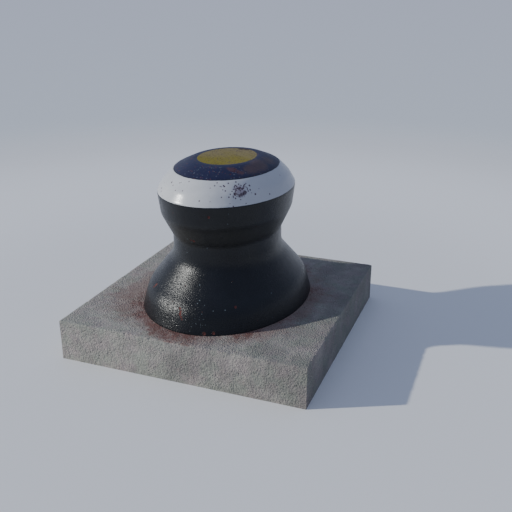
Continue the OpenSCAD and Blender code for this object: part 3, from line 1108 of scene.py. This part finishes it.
# Light of the backdrop: upward part of the direction, from below the horizon to overhead, and its colour
SKY = [
    (-0.2, (0.46, 0.52, 0.64)),
    (0.0, (0.43, 0.475, 0.61)),
    (0.2, (0.26, 0.31, 0.445)),
    (0.6, (0.31, 0.37, 0.545)),
    (1.0, (0.335, 0.40, 0.60)),
]
KEY_COLOUR = (1.0, 1.0, 0.95)
KEY_ANGLE = math.radians(1.1)


def lay_floor(s):
    bm = bmesh.new()
    bmesh.ops.create_circle(bm, cap_ends=True, radius=s.floor_radius, segments=160)
    mesh = bpy.data.meshes.new("floor")
    bm.to_mesh(mesh)
    bm.free()
    mesh.materials.append(floor_material(s))
    floor = bpy.data.objects.new("floor", mesh)
    bpy.context.scene.collection.objects.link(floor)


def hang_key_light(s):
    key = bpy.data.lights.new("key", "SUN")
    key.energy = s.sun_power
    key.angle = KEY_ANGLE
    key.color = KEY_COLOUR
    lamp = bpy.data.objects.new("key", key)
    lamp.rotation_euler = (math.pi / 2 - s.sun_height, 0.0, s.sun_heading + math.pi / 2)
    bpy.context.scene.collection.objects.link(lamp)


def light_backdrop():
    """Soft light from all round, in bands by the height of its direction."""
    world = bpy.data.worlds.new("studio")
    bpy.context.scene.world = world
    world.use_nodes = True
    tree = world.node_tree
    place = tree.nodes.new("ShaderNodeTexCoord")
    split = tree.nodes.new("ShaderNodeSeparateXYZ")
    level = tree.nodes.new("ShaderNodeMapRange")
    ramp = tree.nodes.new("ShaderNodeValToRGB")
    tree.links.new(place.outputs["Generated"], split.inputs[0])
    tree.links.new(split.outputs[2], level.inputs["Value"])
    tree.links.new(level.outputs[0], ramp.inputs[0])
    tree.links.new(ramp.outputs[0], tree.nodes["Background"].inputs["Color"])
    lowest = SKY[0][0]
    level.inputs["From Min"].default_value = lowest
    stops = ramp.color_ramp.elements
    for height, colour in SKY[1:-1]:
        stops.new((height - lowest) / (1 - lowest)).color = (*colour, 1)
    stops[0].color = (*SKY[0][1], 1)
    stops[-1].color = (*SKY[-1][1], 1)


def set_camera(s):
    lens = bpy.data.cameras.new("camera")
    lens.lens = s.lens
    lens.sensor_width = 36.0
    camera = bpy.data.objects.new("camera", lens)
    camera.location = s.eye
    camera.rotation_euler = (s.tilt, 0.0, s.heading)
    bpy.context.scene.collection.objects.link(camera)
    bpy.context.scene.camera = camera


# Operators


class MOORING_OT_bollard_casting(bpy.types.Operator):
    """Builds the painted, weathered outside of the iron casting round its packed inside"""

    bl_idname = "mooring.bollard_casting"
    bl_label = "Bollard Casting"
    bl_options = {"REGISTER", "UNDO"}

    def execute(self, context):
        s = context.scene.bollard_casting
        skin = build_casting(s)
        inside = kept_inside("bollard_casting", lambda m: not is_casting_outside(m))
        mesh = joined("bollard_casting_finish", skin, inside, inside_below=True)
        lay_out(mesh, casting_place, CASTING_SHEET)
        show(mesh, "painted_casting", [paint_material(s), raw_iron_material(s)], "bollard_casting")
        return {"FINISHED"}


class MOORING_OT_concrete_block(bpy.types.Operator):
    """Builds the worn outside of the concrete block round its packed recess"""

    bl_idname = "mooring.concrete_block"
    bl_label = "Concrete Block"
    bl_options = {"REGISTER", "UNDO"}

    def execute(self, context):
        s = context.scene.concrete_block
        skin = build_block(s)
        inside = kept_inside("concrete_block", is_recess)
        mesh = joined("concrete_block_finish", skin, inside, inside_below=False)
        for layer, rust in (("wash", WASHED), ("stain", FRESH)):
            values = [spread(v.co, rust) if v.co.z > DECK - 0.006 else 0.0 for v in mesh.vertices]
            mesh.attributes[layer].data.foreach_set("value", values)
        lay_out(mesh, block_place, BLOCK_SHEET)
        material = concrete_material(s)
        show(mesh, "stained_block", [material, material], "concrete_block")
        return {"FINISHED"}


class MOORING_OT_anchors(bpy.types.Operator):
    """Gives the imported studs, nuts, washers and plates their steel"""

    bl_idname = "mooring.anchors"
    bl_label = "Anchors"
    bl_options = {"REGISTER", "UNDO"}

    def execute(self, context):
        steel = steel_material(context.scene.bollard_anchors)
        for name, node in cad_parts.items():
            if name in ("bollard_casting", "concrete_block"):
                continue
            if not node.material_slots:
                raise RuntimeError(f"{name} has no material slot")
            for slot in node.material_slots:
                slot.material = steel
        return {"FINISHED"}


class MOORING_OT_stage(bpy.types.Operator):
    """Sets out the floor, the light and the camera"""

    bl_idname = "mooring.stage"
    bl_label = "Stage"
    bl_options = {"REGISTER", "UNDO"}

    def execute(self, context):
        s = context.scene.bollard_stage
        lay_floor(s)
        hang_key_light(s)
        light_backdrop()
        set_camera(s)
        return {"FINISHED"}


class MOORING_PT_bollard(bpy.types.Panel):
    """Lists the steps that build the bollard, with their settings"""

    bl_idname = "MOORING_PT_bollard"
    bl_label = "Mooring Bollard"
    bl_space_type = "VIEW_3D"
    bl_region_type = "UI"
    bl_category = "Bollard"

    def draw(self, context):
        scene = context.scene
        for operator, group in STEPS:
            self.layout.operator(operator)
            settings = getattr(scene, group)
            column = self.layout.column(align=True)
            for name in settings.bl_rna.properties.keys():
                if name not in ("name", "rna_type"):
                    column.prop(settings, name)


STEPS = (
    ("mooring.bollard_casting", "bollard_casting"),
    ("mooring.concrete_block", "concrete_block"),
    ("mooring.anchors", "bollard_anchors"),
    ("mooring.stage", "bollard_stage"),
)
GROUPS = (
    ("bollard_casting", BollardCastingSettings),
    ("concrete_block", ConcreteBlockSettings),
    ("bollard_anchors", AnchorSettings),
    ("bollard_stage", StageSettings),
)
CLASSES = (
    *(group for _, group in GROUPS),
    MOORING_OT_bollard_casting,
    MOORING_OT_concrete_block,
    MOORING_OT_anchors,
    MOORING_OT_stage,
    MOORING_PT_bollard,
)


def register():
    for kind in CLASSES:
        bpy.utils.register_class(kind)
    for name, group in GROUPS:
        setattr(bpy.types.Scene, name, PointerProperty(type=group))


def unregister():
    for name, _ in GROUPS:
        delattr(bpy.types.Scene, name)
    for kind in reversed(CLASSES):
        bpy.utils.unregister_class(kind)


def main():
    register()
    bpy.ops.mooring.bollard_casting()
    bpy.ops.mooring.concrete_block()
    bpy.ops.mooring.anchors()
    bpy.ops.mooring.stage()


if __name__ == "__main__":
    main()
